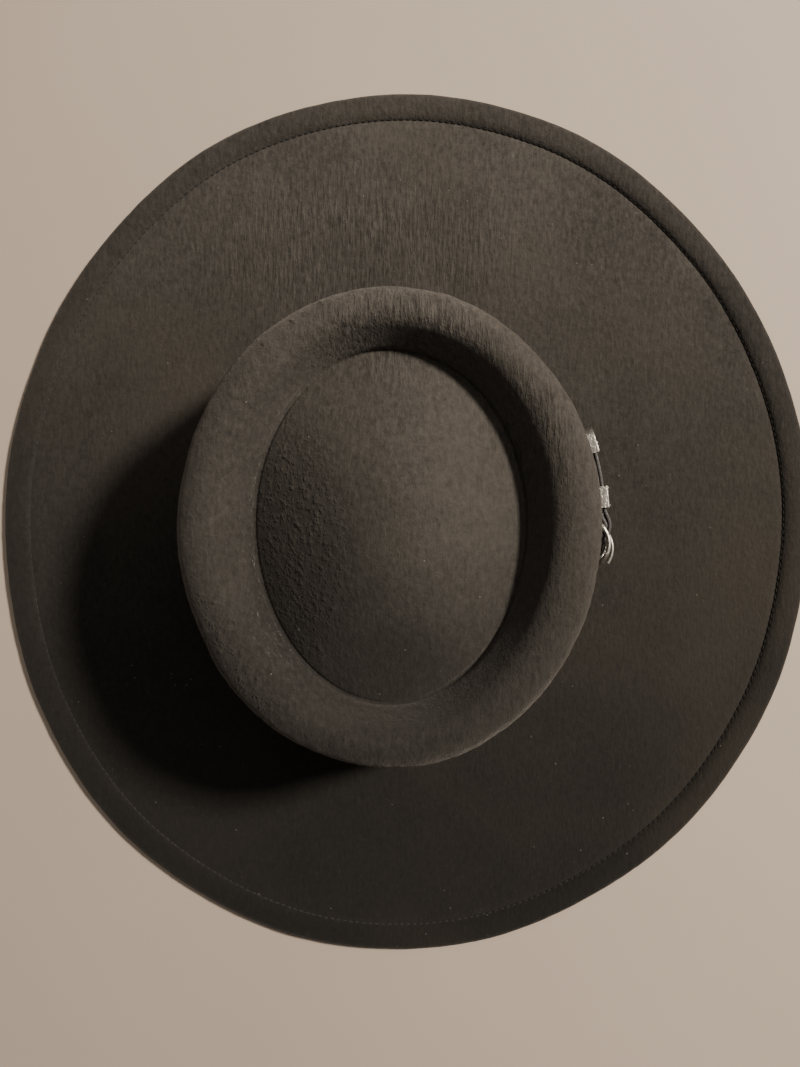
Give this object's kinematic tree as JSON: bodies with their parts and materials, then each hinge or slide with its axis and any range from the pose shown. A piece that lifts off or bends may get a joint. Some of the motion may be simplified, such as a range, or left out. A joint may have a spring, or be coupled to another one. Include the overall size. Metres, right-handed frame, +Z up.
{
  "type": "wide-brimmed felt hat",
  "caption": "Wide flat-brimmed felt hat with a telescope crown, a stitched folded edge, and a leather band with a buckle, keeper and metal tip.",
  "frame": {"origin": "centre of the brim's underside, which the hat rests on", "axes": "+Z up through the crown, +Y to the back of the hat, -Y to the front, +X to the wearer's left, where the buckle is"},
  "size_m": [0.376, 0.4, 0.1001],
  "materials": {
    "felt": "matte",
    "thread": "matte",
    "leather": "satin",
    "sweat_leather": "satin",
    "tape": "matte",
    "label": "matte",
    "silver": "satin",
    "wire": "satin",
    "plastic": "satin"
  },
  "bodies": {
    "hat": {"crown": "felt", "brim": "felt", "edge_wire": "wire", "wire_joiner": "wire", "edge_stitching": "thread", "sweatband": "sweat_leather", "sweatband_reed": "plastic", "reed_tape": "tape", "sweatband_stitching": "thread", "sweatband_seam_stitches": "thread", "sweatband_bow": "tape", "size_label": "label"},
    "band": {"hat_band": "leather", "fold_rivets": "silver", "strap_tip": "silver", "tip_pins": "silver"},
    "buckle": {"buckle_frame": "silver", "buckle_bar": "silver"},
    "prong": {"buckle_prong": "silver"},
    "keeper": {"keeper_loop": "silver"}
  },
  "joints": [
    {"name": "band_lift", "type": "slide", "parent": "hat", "child": "band", "axis": [0, 0, 1], "range_m": [0, 0.12]},
    {"name": "buckle_swing", "type": "hinge", "parent": "band", "child": "buckle", "pos_m": [0.09166, 0, 0.01471], "axis": [-0.1571, 0, 0.9876], "range_deg": [0, 8]},
    {"name": "prong_lift", "type": "hinge", "parent": "buckle", "child": "prong", "pos_m": [0.09166, 0, 0.01471], "axis": [-0.1571, 0, 0.9876], "range_deg": [0, 10]},
    {"name": "keeper_slide", "type": "slide", "parent": "band", "child": "keeper", "axis": [-0.1022, 0.9948, 0], "range_m": [0, 0.006]}
  ]
}
